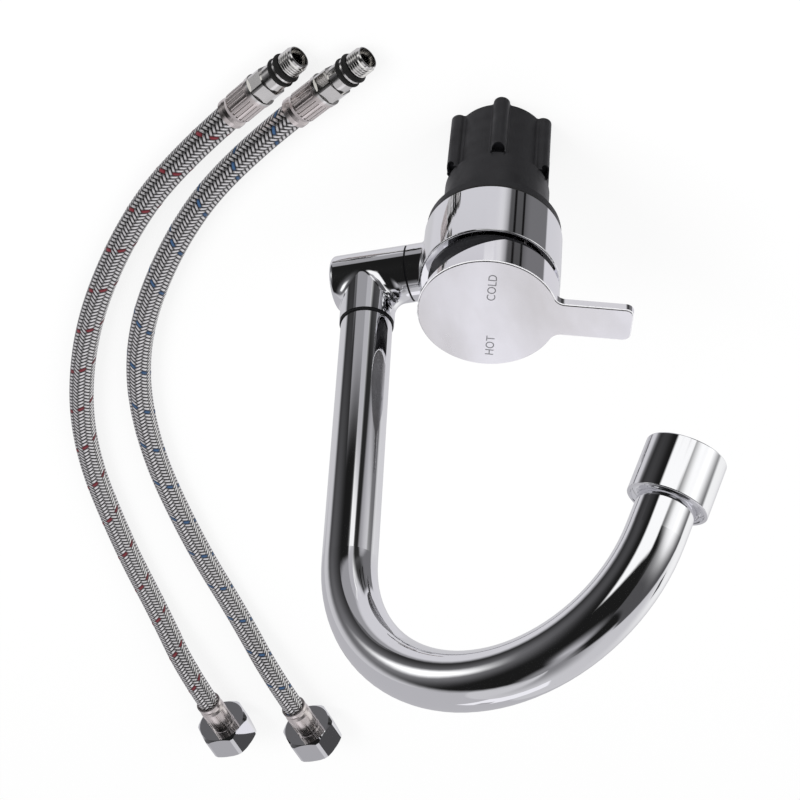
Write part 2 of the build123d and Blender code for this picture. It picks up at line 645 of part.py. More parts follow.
def aerator_parts():
    """Aerator cup on the spout's end ring, with its washer and its perforated insert."""
    ring_low = CUP_BACK + END_RING_RECESS
    ring_high = ring_low + END_RING_H
    cove = ring(TUBE_R + END_RING_COVE, TUBE_R, ring_low - END_RING_COVE, ring_low)
    cove -= o_ring(TUBE_R + END_RING_COVE, END_RING_COVE, ring_low - END_RING_COVE)
    end_ring = ring(CUP_BORE_R - THREAD_PLAY / 2, TUBE_R, ring_low, ring_high) + cove
    cup_end = CUP_BACK + CUP_L
    lip_low = cup_end - CUP_LIP_H
    cup = ring(CUP_R, CUP_BORE_R, CUP_BACK, lip_low) + ring(CUP_R, CUP_LIP_R, lip_low, cup_end)
    rims = cup.edges().filter_by(GeomType.CIRCLE)
    rims = [edge for edge in rims if abs(edge.radius - CUP_R) < 0.01]
    rims = [edge for edge in rims if not CUP_BACK + 1 < edge.center().Z < cup_end - 1]
    cup = fillet(rims, 0.35)
    washer_high = ring_high + AERATOR_WASHER_H
    washer = ring(CUP_BORE_R - THREAD_PLAY / 2, TUBE_R - TUBE_WALL, ring_high, washer_high)
    plate_low = cup_end - 0.3 - AERATOR_PLATE_H
    insert = ring(CUP_BORE_R - LOOSE, CUP_LIP_R - 1.2, washer_high, lip_low)
    insert += ring(CUP_LIP_R - LOOSE, CUP_LIP_R - 1.2, lip_low, cup_end - 0.3)
    plate = rod(CUP_LIP_R - 1.2, plate_low, cup_end - 0.3)
    cell = rod(AERATOR_CELL_R, plate_low, cup_end - 0.3)
    with HexLocations(AERATOR_CELL_STEP / 2, 7, 7) as grid:
        spots = [spot for spot in grid if spot.position.length < CUP_LIP_R - 2.6]
    insert += plate - [spot * cell for spot in spots]
    parts = {
        "spout_end_ring": end_ring,
        "aerator_shell": cup,
        "aerator_washer": washer,
        "aerator_insert": insert,
    }
    return {name: place(OUTLET, shape) for name, shape in parts.items()}


def route_radii(points):
    """Corner radii of a hose route, each as large as its two runs allow."""
    radii = []
    for before, corner, after in zip(points, points[1:], points[2:]):
        run_in = corner - before
        run_out = after - corner
        turn = run_in.get_angle(run_out)
        radii.append(0.45 * min(run_in.length, run_out.length) / tan(radians(turn / 2)))
    return radii


def hose_ends(points):
    """Frames at the two ends of a hose, each pointing out of it."""
    first = (points[0] - points[1]).normalized()
    last = (points[-1] - points[-2]).normalized()
    side_first = Vector(0, 0, 1).cross(first).normalized()
    side_last = Vector(0, 0, 1).cross(last).normalized()
    return (
        Plane(origin=points[0], x_dir=side_first, z_dir=first),
        Plane(origin=points[-1], x_dir=side_last, z_dir=last),
    )


def fluted_ferrule(count, lip_r):
    """Crimped ferrule: end lip, fluted barrel and flared skirt over the braid."""
    skirt = FERRULE_R - 0.1
    barrel = turned([
        (HOSE_R, -FERRULE_L), (skirt, -FERRULE_L), (skirt, -FERRULE_L + 1.8),
        (FERRULE_R - 0.5, -FERRULE_L + 3.2), (FERRULE_R, -FERRULE_L + 4.6), (FERRULE_R, 0.6),
        (lip_r, 0.9), (lip_r, FERRULE_LIP), (TAIL_NECK_R, FERRULE_LIP), (TAIL_NECK_R, 0), (HOSE_R, 0),
    ])
    flute = rod(FLUTE_R, -FERRULE_L + 4.8, 0.2)
    for index in range(count):
        barrel -= Rot(0, 0, index * 360 / count) * Pos(FERRULE_R + 0.1, 0, 0) * flute
    return barrel


def connector_parts():
    """M10 connector: hose barb, hexagon, neck, two O-rings and the threaded tip."""
    root = CONNECTOR_R - CONNECTOR_THREAD
    hex_low = FERRULE_LIP + CONNECTOR_LIP_H
    hex_high = hex_low + HEX_L
    groove_w = 2 * CONNECTOR_SEAL_WIRE
    grooves = [hex_high + CONNECTOR_NECK_L]
    grooves.append(grooves[0] + groove_w + SEAL_LAND_W)
    thread_low = grooves[1] + groove_w
    thread_high = thread_low + CONNECTOR_THREAD_L
    tip = thread_high + CONNECTOR_TIP
    outline = [
        (CONNECTOR_BORE_R, BARB_END), (HOSE_BORE_R, BARB_END), (HOSE_BORE_R, 0), (TAIL_NECK_R, 0),
        (TAIL_NECK_R, FERRULE_LIP), (CONNECTOR_LIP_R, FERRULE_LIP), (CONNECTOR_LIP_R, hex_low),
        (SEAL_LAND_R, hex_low), (SEAL_LAND_R, grooves[0]), (SEAL_GROOVE_R, grooves[0]),
        (SEAL_GROOVE_R, grooves[0] + groove_w), (SEAL_LAND_R, grooves[0] + groove_w),
        (SEAL_LAND_R, grooves[1]), (SEAL_GROOVE_R, grooves[1]), (SEAL_GROOVE_R, thread_low),
    ]
    outline += thread_points(root, CONNECTOR_R, CONNECTOR_PITCH, thread_low, thread_high)
    outline += [
        (root, tip - 0.3), (root - 0.3, tip), (CONNECTOR_MOUTH_R, tip),
        (CONNECTOR_MOUTH_R, tip - CONNECTOR_MOUTH_L), (CONNECTOR_BORE_R, tip - CONNECTOR_MOUTH_L),
    ]
    hexagon = extrude(RegularPolygon(HEX_FLATS / 2, 6, major_radius=False), HEX_L)
    hexagon = Pos(0, 0, hex_low) * hexagon & rod(HEX_ROUND_R, hex_low, hex_high)
    body = turned(outline) + hexagon - rod(CONNECTOR_BORE_R, hex_low, hex_high)
    seal_r = SEAL_GROOVE_R + CONNECTOR_SEAL_WIRE
    seals = [o_ring(seal_r, CONNECTOR_SEAL_WIRE, low + CONNECTOR_SEAL_WIRE) for low in grooves]
    return {
        "hose_connector": body,
        "hose_seals": Compound(children=seals),
        "inlet_ferrule": fluted_ferrule(24, CONNECTOR_LIP_R - 0.1),
    }


def union_parts():
    """Hose tail with its seat, the union nut that turns on it and the flat washer."""
    wall_top = UNION_START + UNION_WALL
    seat_low = wall_top + JOINT_GAP
    seat_high = seat_low + TAIL_SEAT_H
    tail = turned([
        (CONNECTOR_BORE_R, BARB_END), (HOSE_BORE_R, BARB_END), (HOSE_BORE_R, 0),
        (TAIL_NECK_R, 0), (TAIL_NECK_R, seat_low), (TAIL_SEAT_R, seat_low),
        (TAIL_SEAT_R, seat_high), (CONNECTOR_BORE_R, seat_high),
    ])
    end = UNION_START + UNION_L
    nut = Pos(0, 0, UNION_START) * extrude(RegularPolygon(UNION_FLATS / 2, 6, major_radius=False), UNION_L)
    corner_r = UNION_FLATS / 2 / cos(radians(30)) - UNION_CORNER
    nut &= turned([
        (0, UNION_START), (corner_r - 1.6, UNION_START), (corner_r, UNION_START + 1.3),
        (corner_r, end - 0.8), (corner_r - 1.2, end), (0, end),
    ])
    nut -= rod(TAIL_NECK_R + LOOSE, UNION_START, wall_top)
    thread = thread_points(UNION_BORE_R + UNION_THREAD, UNION_BORE_R, UNION_PITCH, wall_top + 4.0, end - 0.8)
    mouth = UNION_BORE_R + UNION_THREAD + 0.1
    nut -= turned(
        [(0, wall_top), (UNION_BORE_R + 0.4, wall_top), (UNION_BORE_R + 0.4, wall_top + 4.0)]
        + thread + [(mouth, end), (0, end)]
    )
    washer = ring(UNION_BORE_R - 0.35, TAIL_NECK_R, seat_high, seat_high + NUT_WASHER_H)
    return {
        "hose_tail": tail,
        "union_nut": nut,
        "nut_washer": washer,
        "outlet_ferrule": fluted_ferrule(12, 6.0),
    }


def hose_parts(name, route):
    """One hose on the floor: braided tube, connector end and union nut end."""
    points = [Vector(x, y, FLOOR_Z + z) for x, y, z in route]
    radii = route_radii(points)
    path = FilletPolyline(*points, radius=radii)
    start, finish = hose_ends(points)
    across = Plane(origin=points[0], x_dir=start.x_dir, z_dir=start.z_dir * -1)
    tube = sweep(across * Circle(HOSE_R), path) - sweep(across * Circle(HOSE_BORE_R), path)
    section = 3.14159 * (HOSE_R**2 - HOSE_BORE_R**2)
    print(name, "length", round(path.length, 1), "radii", [round(r) for r in radii])
    print(name, "volume over section x length", round(tube.volume / (section * path.length), 4))
    parts = {f"{name}_hose_tube": tube}
    for node, shape in connector_parts().items():
        parts[f"{name}_{node}"] = place(start, shape)
    for node, shape in union_parts().items():
        parts[f"{name}_{node}"] = place(finish, shape)
    return parts


def main():
    parts = {}
    for group in (
        body_parts(), shank_parts(), clamp_parts(), cartridge_parts(), spindle_parts(), cover_parts(),
        handle_parts(), elbow_parts(), spout_parts(), aerator_parts(),
        hose_parts("hot", HOT_ROUTE), hose_parts("cold", COLD_ROUTE),
    ):
        parts.update(group)
    os.makedirs("parts", exist_ok=True)
    for name, shape in parts.items():
        export_step(shape, f"parts/{name}.step")
    print(len(parts), "nodes")


main()
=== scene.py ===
"""Looks of the mixer tap with its fold-down spout and two braided hoses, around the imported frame.

Lengths are in millimetres unless a comment says otherwise, and become metres through MM.
"""
import json
import math

import bpy
import numpy as np
from mathutils import Matrix, Vector


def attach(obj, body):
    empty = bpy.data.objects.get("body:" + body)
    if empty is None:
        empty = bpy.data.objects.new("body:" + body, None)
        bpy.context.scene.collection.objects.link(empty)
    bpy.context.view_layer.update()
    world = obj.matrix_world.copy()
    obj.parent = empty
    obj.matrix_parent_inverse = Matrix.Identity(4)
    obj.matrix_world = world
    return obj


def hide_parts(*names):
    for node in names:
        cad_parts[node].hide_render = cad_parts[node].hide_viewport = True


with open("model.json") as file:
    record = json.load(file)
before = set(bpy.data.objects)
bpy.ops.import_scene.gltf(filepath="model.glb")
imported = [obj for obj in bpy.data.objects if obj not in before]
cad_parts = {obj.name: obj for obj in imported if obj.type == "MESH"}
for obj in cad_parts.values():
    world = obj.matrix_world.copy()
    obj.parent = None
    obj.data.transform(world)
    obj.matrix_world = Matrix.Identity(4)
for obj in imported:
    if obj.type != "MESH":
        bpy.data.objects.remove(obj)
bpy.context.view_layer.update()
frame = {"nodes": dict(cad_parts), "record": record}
scene = bpy.context.scene
MM = 0.001

# Camera, placed as the photographer stood: in front, above and upside down
CAMERA = (138.9, 441.8, 532.5)
CAMERA_RIGHT = (0.958, -0.2742, -0.084)
CAMERA_FORWARD = (-0.2532, -0.6711, -0.6968)
LENS = 90
SENSOR = 36

# Hose routes, each from its connector to its union nut, as in the part's source.
# The third number is the height above the floor that the hoses and the backnut stand on.
FLOOR_Z = -55.2
HOT_ROUTE = [
    (-80.5, 45.3, 6.7),
    (-121.0, 21.5, 6.0),
    (-158.0, -13.0, 5.4),
    (-193.0, -60.0, 5.4),
    (-217.0, -117.0, 5.4),
    (-224.5, -185.0, 5.4),
    (-226.0, -237.0, 5.4),
    (-225.0, -276.0, 12.05),
    (-222.0, -314.0, 12.05),
]
COLD_ROUTE = [
    (-57.0, 40.4, 6.7),
    (-98.0, 18.0, 6.0),
    (-137.0, -17.0, 5.4),
    (-172.0, -66.0, 5.4),
    (-188.5, -122.0, 5.4),
    (-191.5, -190.0, 5.4),
    (-188.5, -246.0, 5.4),
    (-184.5, -286.5, 12.05),
    (-180.4, -324.5, 12.05),
]

# Braid of each hose: two families of flat strands, wound opposite ways round a black liner
LINER_R = 4.8
BRAID_R = 5.0
BRAID_WAVE = 0.14  # a strand's rise and dip as it goes over and under the others
BRAID_SQUARE = 2.2  # how flat the rise and the dip are, and how quickly they change over
BRAID_LEAD = 24.0
STRANDS = 12
STRAND_W = 1.5
STRAND_ACROSS = (-0.5, -0.22, 0.22, 0.5)  # columns of a strand's mesh, in its width
STRAND_DROP = (0.16, 0.0, 0.0, 0.16)  # how far each of them lies below the crown
TRACER_STRAND = 3  # the coloured strand, in one family only
TRACER_W = 1.12  # its width, in a plain strand's
TRACER_LIFT = 0.04
STATION = 0.3  # step along the hose
SMOOTHING = 9  # stations averaged on each side, for a centreline without facets

# Handle, in the frame that the lever turned to
LEVER_TURN = -18.0
HANDLE_TOP = 38.3

# Words on the handle: piece, text, and the middle of each across and along the lever's frame
WORDS = (("word_cold", "COLD", 0.8, 12.1), ("word_hot", "HOT", 1.9, -14.6))
WORD_H = 3.05
WORD_RISE = 0.012  # middle of the letters' thickness above the handle's top
WORD_HALF_THICK = 0.008
WORD_SPACING = 1.05
CAP_HEIGHT = 0.73  # a capital's height in Blender's own font, as a share of its size

# Floor, just under what stands on it
FLOOR_DROP = 0.05
FLOOR_HALF = 4  # metres
FLOOR_PALE = (0.93, 0.93, 0.93)
FLOOR_GLOW = 0.82  # share of plain white that the camera sees there, the rest keeps the shadows

WHITE = (1, 1, 1)
AMBIENT = (0.7, 0.7, 0.7)  # what lights the matt surfaces, from all round
LAMP_TARGET = (0, 0, 0.05)  # metres, as the lamps' places are

# The studio as the chrome mirrors it: its general grey and tint, and soft cards and gaps laid over
# each other by direction, in degrees. They were fitted to the bands in the photo's chrome.
STUDIO_GREY = (0.63, 0.03)
STUDIO = (
    # azimuth, height, half width, half height, soft edge, grey, tint, sideways lean for each rise
    (-137, 7, 42, 43, 1.4, 0.51, 0.04, -0.25),
    (-25, -13, 48, 20, 18, 1, 0, 0.32),
    (-105, 40, 22, 9, 1, 0.96, 0.04, 0.25),
    (56, 87, 150, 21, 20, 0.25, 0.04, 1.2),
    (77, 3, 92, 73, 8, 0.012, 0, 0.09),
    (7, 20, 32, 29, 2.4, 0.086, 0.04, 0.16),
    (40, -3, 14, 12, 13, 1.3, 0, -1.1),
    (17, -36, 16, 10, 4, 0.48, 0.04, 1.2),
    (7, -5, 17, 21, 18, 1.3, 0, 0.32),
    (78, -2, 20, 16, 3, 1.1, 0, 0.07),
    (145, -4, 20, 19, 22, 0.28, 0.04, -0.07),
    (141, -5, 9, 9, 6, 1.3, 0, -0.16),
    (47, -70, 143, 26, 7, 0.7, 0.04, 0.36),
    (14, -46, 37, 12, 2, 0.18, 0.04, 0.49),
    (43, -42, 18, 10, 10, 0.045, 0, 0.67),
    (69, -23, 8, 25, 1.6, 1.1, 0, -0.34),
    (102, -37, 23, 8, 1.9, 0.35, 0.04, -1.2),
    (73, 67, 26, 7, 16, 0.63, 0.04, 0.08),
    (68, -32, 5, 16, 9, 1, 0, 0.46),
    (51, -13, 27, 10, 1.6, 0.11, 0.04, -1.06),
    (76, -37, 9, 10, 1.4, 0.5, 0.04, -0.65),
    (76, -16, 10, 6, 2.6, 0.41, 0.04, -0.35),
    # Small marks in the elbow, the riser and the flats of the union nuts
    (-115, 34, 4, 3, 1, 0.42, 0.04, 0),
    (-42, 4, 5, 3, 1, 0.07, 0.04, 0),
    (125, -35, 4, 2.5, 1, 0.13, 0.04, 0),
    # Thin dark lines beside the grey band on the sides of the body and the handle
    (39.5, -49, 2, 7, 1, 0.008, 0, 0),
    (24.5, -49, 2, 7, 1, 0.008, 0, 0),
)


class Graph:
    """A node tree of a material or the world, and short ways to add to it."""

    def __init__(self, tree):
        self.tree = tree

    def add(self, kind, **settings):
        node = self.tree.nodes.new(kind)
        for key, value in settings.items():
            setattr(node, key, value)
        return node

    def put(self, value, socket):
        """Gives a socket a number, a colour or another node's output."""
        if isinstance(value, (int, float)):
            socket.default_value = value
        elif isinstance(value, tuple):
            socket.default_value = (*value, 1)
        else:
            self.tree.links.new(value, socket)

    def maths(self, operation, *values):
        node = self.add("ShaderNodeMath", operation=operation)
        for socket, value in zip(node.inputs, values):
            self.put(value, socket)
        return node.outputs[0]

    def split(self, vector):
        """A vector's parts, by X, Y and Z."""
        node = self.add("ShaderNodeSeparateXYZ")
        self.put(vector, node.inputs["Vector"])
        return node.outputs

    def spread(self, value, low, high, start=0.3, end=0.7, curve="LINEAR"):
        """A value spread from one range, by default that of most noise, to another."""
        node = self.add("ShaderNodeMapRange", interpolation_type=curve)
        node.inputs["From Min"].default_value = start
        node.inputs["From Max"].default_value = end
        node.inputs["To Min"].default_value = low
        node.inputs["To Max"].default_value = high
        self.put(value, node.inputs["Value"])
        return node.outputs["Result"]

    def mix(self, factor, first, second, kind="RGBA"):
        """A colour, or with kind FLOAT a number, between two others."""
        node = self.add("ShaderNodeMix", data_type=kind)
        self.put(factor, node.inputs["Factor"])
        self.put(first, node.inputs["A"])
        self.put(second, node.inputs["B"])
        return node.outputs["Result"]


class Material(Graph):
    """One material: a Principled shader and a few procedural nodes."""

    def __init__(self, name, metallic, gloss=0.5):
        self.material = bpy.data.materials.new(name)
        self.material.use_nodes = True
        super().__init__(self.material.node_tree)
        self.inputs = self.tree.nodes["Principled BSDF"].inputs
        self.inputs["Metallic"].default_value = metallic
        self.inputs["Specular IOR Level"].default_value = gloss
        self.place = self.add("ShaderNodeTexCoord").outputs["Object"]

    def noise(self, scale, detail, stretch=None):
        """Noise at a scale in cells per metre, over the part's own coordinates."""
        vector = self.place
        if stretch:
            mapping = self.add("ShaderNodeMapping")
            mapping.inputs["Scale"].default_value = stretch
            self.put(vector, mapping.inputs["Vector"])
            vector = mapping.outputs["Vector"]
        node = self.add("ShaderNodeTexNoise")
        node.inputs["Scale"].default_value = scale
        node.inputs["Detail"].default_value = detail
        self.put(vector, node.inputs["Vector"])
        return node.outputs["Fac"]

    def roughness(self, value):
        self.put(value, self.inputs["Roughness"])

    def colour(self, factor, low, high):
        self.put(self.mix(factor, low, high), self.inputs["Base Color"])

    def bump(self, value, strength, distance):
        """Gives the surface its relief."""
        node = self.add("ShaderNodeBump")
        node.inputs["Strength"].default_value = strength
        node.inputs["Distance"].default_value = distance * MM
        self.put(value, node.inputs["Height"])
        self.put(node.outputs["Normal"], self.inputs["Normal"])


class Sky(Graph):
    """Soft rectangles laid over each other by direction, on a plain colour."""

    def __init__(self, tree, base):
        super().__init__(tree)
        x, y, z = self.split(self.add("ShaderNodeTexCoord").outputs["Generated"])
        self.azimuth = self.maths("DEGREES", self.maths("ARCTAN2", y, x))
        self.height = self.maths("DEGREES", self.maths("ARCSINE", z))
        self.colour = base

    def window(self, distance, half, soft):
        """1 within half of the middle, 0 beyond, with a soft edge."""
        distance = self.maths("ABSOLUTE", distance)
        return self.spread(distance, 1, 0, half - soft, half + soft, "SMOOTHSTEP")

    def patch(self, azimuth, height, half_width, half_height, soft, colour, lean):
        """Lays one soft rectangle over what is there, leaning sideways as it rises."""
        side = self.maths("SUBTRACT", self.azimuth, azimuth)
        rise = self.maths("SUBTRACT", self.height, height)
        if lean:
            side = self.maths("SUBTRACT", side, self.maths("MULTIPLY", rise, lean))
        side = self.maths("WRAP", side, 180, -180)
        mask = self.maths(
            "MULTIPLY", self.window(side, half_width, soft), self.window(rise, half_height, soft))
        self.colour = self.mix(mask, self.colour, colour)


def make_camera():
    """Camera at the fitted place."""
    forward = Vector(CAMERA_FORWARD).normalized()
    right = Vector(CAMERA_RIGHT)
    right = (right - forward * right.dot(forward)).normalized()
    up = right.cross(forward)
    data = bpy.data.cameras.new("camera")
    data.lens = LENS
    data.sensor_width = SENSOR
    data.clip_start = 0.01
    data.clip_end = 20
    camera = bpy.data.objects.new("camera", data)
    turn = Matrix((right, up, -forward)).transposed()
    camera.matrix_world = Matrix.Translation(Vector(CAMERA) * MM) @ turn.to_4x4()
    scene.collection.objects.link(camera)
    scene.camera = camera


def hose_curve(name, route):
    """The hose's liner, a smooth curve with the route's points as its control points."""
    data = bpy.data.curves.new(name, "CURVE")
    data.dimensions = "3D"
    spline = data.splines.new("NURBS")
    spline.points.add(len(route) - 1)
    for point, (x, y, z) in zip(spline.points, route):
        point.co = (x * MM, y * MM, (FLOOR_Z + z) * MM, 1)
    spline.order_u = 3
    spline.use_endpoint_u = True
    spline.resolution_u = 24
    data.bevel_depth = LINER_R * MM
    data.bevel_resolution = 6
    curve = bpy.data.objects.new(name, data)
    scene.collection.objects.link(curve)
    return curve


def centreline(curve):
    """Points of the hose's own spline, evenly spaced, with frames that don't twist."""
    data = curve.data.copy()
    data.bevel_depth = 0
    bare = bpy.data.objects.new("centreline", data)
    mesh = bpy.data.meshes.new_from_object(bare)
    points = np.array([v.co for v in mesh.vertices]) / MM
    bpy.data.objects.remove(bare)
    bpy.data.meshes.remove(mesh)
    bpy.data.curves.remove(data)
    steps = np.linalg.norm(np.diff(points, axis=0), axis=1)
    run = np.concatenate([[0], np.cumsum(steps)])
    along = np.arange(0, run[-1], STATION)
    line = np.stack([np.interp(along, run, points[:, i]) for i in range(3)], 1)
    ends = ((SMOOTHING, SMOOTHING), (0, 0))
    padded = np.pad(line, ends, mode="reflect", reflect_type="odd")
    kernel = np.ones(2 * SMOOTHING + 1) / (2 * SMOOTHING + 1)
    line = np.stack([np.convolve(padded[:, i], kernel, "valid") for i in range(3)], 1)
    tangent = np.gradient(line, axis=0)
    tangent /= np.linalg.norm(tangent, axis=1)[:, None]
    side = np.cross(tangent, (0, 0, 1))
    side /= np.linalg.norm(side, axis=1)[:, None]
    return along, line, tangent, side, np.cross(side, tangent)


def braid(name, path, hand, materials, tracer):
    """One family of the braid's flat strands, woven over and under the other family.

    Each strand gets UVs, across it from 0 to 1 and along it by 1 from each float to the next.
    """
    along, line, tangent, side, up = path
    stations = len(along)
    columns = len(STRAND_ACROSS)
    pitch_angle = math.atan2(2 * math.pi * BRAID_R, BRAID_LEAD)
    across = np.array(STRAND_ACROSS)
    verts, faces, coords, marks = [], [], [], []
    for strand in range(STRANDS):
        coloured = strand == tracer
        width = STRAND_W * (TRACER_W if coloured else 1.0)
        turn = hand * 2 * math.pi * along / BRAID_LEAD + 2 * math.pi * strand / STRANDS
        weave = math.pi * strand + hand * math.pi * STRANDS * along / BRAID_LEAD - math.pi / 4
        wave = hand * BRAID_WAVE * np.tanh(BRAID_SQUARE * np.cos(weave))
        places = []
        for offset, drop in zip(across * width, STRAND_DROP):
            angle = turn + math.cos(pitch_angle) * offset / BRAID_R
            radius = BRAID_R + wave - drop + (TRACER_LIFT if coloured else 0)
            radial = np.cos(angle)[:, None] * side + np.sin(angle)[:, None] * up
            shift = -hand * math.sin(pitch_angle) * offset
            places.append(line + radial * radius[:, None] + tangent * shift)
        verts.append(np.stack(places, 1).reshape(-1, 3))
        first = columns * (stations * strand + np.arange(stations - 1))
        for column in range(columns - 1):
            a = first + column
            quads = np.stack([a, a + 1, a + columns + 1, a + columns], 1)
            faces.append(quads if hand > 0 else quads[:, ::-1])
            marks += [int(coloured)] * (stations - 1)
        u = np.tile(across + 0.5, stations)
        v = np.repeat(weave / (2 * math.pi) + (0 if hand > 0 else 0.5), columns)
        coords.append(np.stack([u, v], 1))
    faces = np.concatenate(faces)
    mesh = bpy.data.meshes.new(name)
    mesh.from_pydata((np.concatenate(verts) * MM).tolist(), [], faces.tolist())
    mesh.polygons.foreach_set("use_smooth", [True] * len(faces))
    for material in materials:
        mesh.materials.append(material)
    mesh.polygons.foreach_set("material_index", marks)
    layer = mesh.uv_layers.new(name="strand")
    layer.data.foreach_set("uv", np.concatenate(coords)[faces.ravel()].ravel())
    piece = bpy.data.objects.new(name, mesh)
    scene.collection.objects.link(piece)
    return piece


def chrome():
    """Bright chrome plate: nearly a mirror, with faint wipe marks."""
    made = Material("chrome_plate", 1.0)
    made.roughness(made.spread(made.noise(55, 4), 0.015, 0.06))
    made.colour(made.noise(18, 2), (0.83, 0.835, 0.855), (0.89, 0.89, 0.9))
    made.bump(made.noise(90, 2), 0.02, 0.1)
    return made.material


def handle_chrome():
    """Chrome of the handle, wiped duller and cloudy on its flat top.

    The lower half of the bevel round the top is made non-metallic in the pale top colour, a painted
    highlight that shows as a pale line from every side, and the upper half stays bright, for the
    line inside it.
    """
    made = Material("handle_plate", 1.0)
    height = made.split(made.place)["Z"]

    def below_top(start, end, low, high):
        """A value that changes between two depths under the handle's top."""
        return made.spread(height, low, high, (HANDLE_TOP - start) * MM, (HANDLE_TOP - end) * MM)

    top = below_top(0.4, 0.05, 0, 1)
    sides = made.spread(made.noise(60, 3), 0.03, 0.08)
    haze = made.spread(made.noise(45, 5, (1, 0.5, 1)), 0.16, 0.3)
    made.roughness(made.mix(top, sides, haze, "FLOAT"))
    # Painted highlight: between these depths the bevel is non-metallic in the pale top colour, for
    # the pale rim line
    under_bevel = below_top(0.52, 0.48, 1, 0.2)
    over_bevel = below_top(0.26, 0.22, 0, 1)
    made.put(made.maths("MAXIMUM", under_bevel, over_bevel), made.inputs["Metallic"])
    cloud = made.spread(made.noise(34, 5, (1, 0.45, 1)), 0.05, 0.85, 0.36, 0.64)
    made.colour(made.maths("MULTIPLY", top, cloud), (0.91, 0.905, 0.93), (0.7, 0.685, 0.675))
    made.bump(made.noise(110, 3), 0.03, 0.1)
    return made.material


def backnut_plastic():
    """Black moulded plastic with a fine spark-eroded grain."""
    made = Material("nut_plastic", 0.0, 0.3)
    made.roughness(made.spread(made.noise(120, 4), 0.34, 0.52))
    made.colour(made.noise(220, 4), (0.006, 0.006, 0.007), (0.014, 0.014, 0.016))
    made.bump(made.noise(2600, 2), 0.25, 0.05)
    return made.material


def painted_shade_black():
    """Glossy black on the dome cap: painted shade, for the dark gap under the handle."""
    made = Material("cap_gloss_painted_shade", 0.0)
    made.roughness(made.spread(made.noise(150, 3), 0.08, 0.2))
    # Painted shade: near-black, for the dark gap under the handle
    made.colour(made.noise(90, 3), (0.015, 0.015, 0.017), (0.03, 0.03, 0.033))
    made.bump(made.noise(300, 2), 0.05, 0.05)
    return made.material


def rubber():
    """Black seal rubber, dull and slightly dusty."""
    made = Material("seal_rubber", 0.0, 0.3)
    made.roughness(made.spread(made.noise(300, 4), 0.45, 0.7))
    made.colour(made.noise(160, 4), (0.005, 0.005, 0.005), (0.014, 0.014, 0.013))
    made.bump(made.noise(1800, 2), 0.2, 0.04)
    return made.material


def plain_metal(name, low, high, rough, grain=400):
    """A metal with small changes of colour and roughness, and fine machining marks."""
    made = Material(name, 1.0)
    made.roughness(made.spread(made.noise(140, 4), *rough))
    made.colour(made.noise(70, 4), low, high)
    made.bump(made.noise(grain, 2), 0.08, 0.05)
    return made.material


def plain_plastic(name, low, high, rough, gloss=0.5):
    """A moulded plastic or a lapped ceramic."""
    made = Material(name, 0.0, gloss)
    made.roughness(made.spread(made.noise(200, 3), *rough))
    made.colour(made.noise(90, 3), low, high)
    made.bump(made.noise(900, 2), 0.1, 0.04)
    return made.material


def woven(made):
    """The strand's UVs, and a mask of painted light: 1 on each float's top for a painted highlight,
    0 at its edges and where it dips under for painted shade.
    """
    uv = made.add("ShaderNodeUVMap", uv_map="strand").outputs["UV"]
    x, y, _ = made.split(uv)
    inward = made.maths("PINGPONG", x, 0.5)
    run = made.maths("COSINE", made.maths("MULTIPLY", y, 2 * math.pi))
    crown = made.maths(
        "MULTIPLY", made.spread(inward, 0, 1, 0.1, 0.3), made.spread(run, 0, 1, -0.1, 0.7))
    return uv, crown


def strand_wire():
    """Stainless strand of the braid: a few thin wires side by side, with a painted highlight on
    each float's top and painted shade at its edges and where it dips under.
    """
    made = Material("braid_wire", 1.0)
    uv, crown = woven(made)
    wires = made.add("ShaderNodeTexWave", wave_type="BANDS", bands_direction="X")
    wires.inputs["Scale"].default_value = 1.6
    wires.inputs["Distortion"].default_value = 0.4
    wires.inputs["Detail"].default_value = 1.0
    made.put(uv, wires.inputs["Vector"])
    made.roughness(made.spread(made.noise(500, 3), 0.22, 0.4))
    # Painted highlight on each float's top, painted shade at the strand's edges and under the
    # crossings
    made.colour(crown, (0.03, 0.029, 0.028), (0.97, 0.96, 0.95))
    made.bump(wires.outputs["Fac"], 0.4, 0.05)
    return made.material


def tracer_yarn(name, low, high):
    """Dyed nylon tracer in the braid, with the same painted highlight and painted shade over its
    floats as the wire.
    """
    made = Material(name, 0.0)
    made.roughness(made.spread(made.noise(600, 3), 0.35, 0.6))
    # Dye colour, painted darker at the edges and under the crossings and lighter on the floats'
    # tops
    made.colour(woven(made)[1], low, high)
    made.bump(made.noise(2200, 2), 0.3, 0.05)
    return made.material


def lettering():
    """Thin engraved-looking words on the handle's flat top."""
    lever = Matrix.Rotation(math.radians(LEVER_TURN), 4, "Z")
    upright = Matrix.Rotation(math.radians(90), 4, "Z")
    for name, text, side, middle in WORDS:
        data = bpy.data.curves.new(name, "FONT")
        data.body = text
        data.align_x = "CENTER"
        data.align_y = "CENTER"
        data.size = WORD_H / CAP_HEIGHT * MM
        data.space_character = WORD_SPACING
        data.extrude = WORD_HALF_THICK * MM
        data.materials.append(looks["ink"])
        piece = bpy.data.objects.new(name, data)
        place = Matrix.Translation((side * MM, middle * MM, (HANDLE_TOP + WORD_RISE) * MM))
        piece.matrix_world = lever @ place @ upright
        scene.collection.objects.link(piece)
        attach(piece, "lever")


def dress_nodes():
    """Gives each CAD node the look of its slot, and three of them one of their own.

    The retaining nut is seen through the gap under the handle, where bare brass would glint. The
    dome cap's glossy black is painted shade for that gap.
    """
    own = {"handle": "handle", "dome_cap": "dome", "retaining_nut": "nickel"}
    slots = {row["node"]: row["material_slot"] for row in frame["record"]["subparts"]}
    for name, node in frame["nodes"].items():
        for place in node.material_slots:
            place.material = looks[own.get(name, slots[name])]


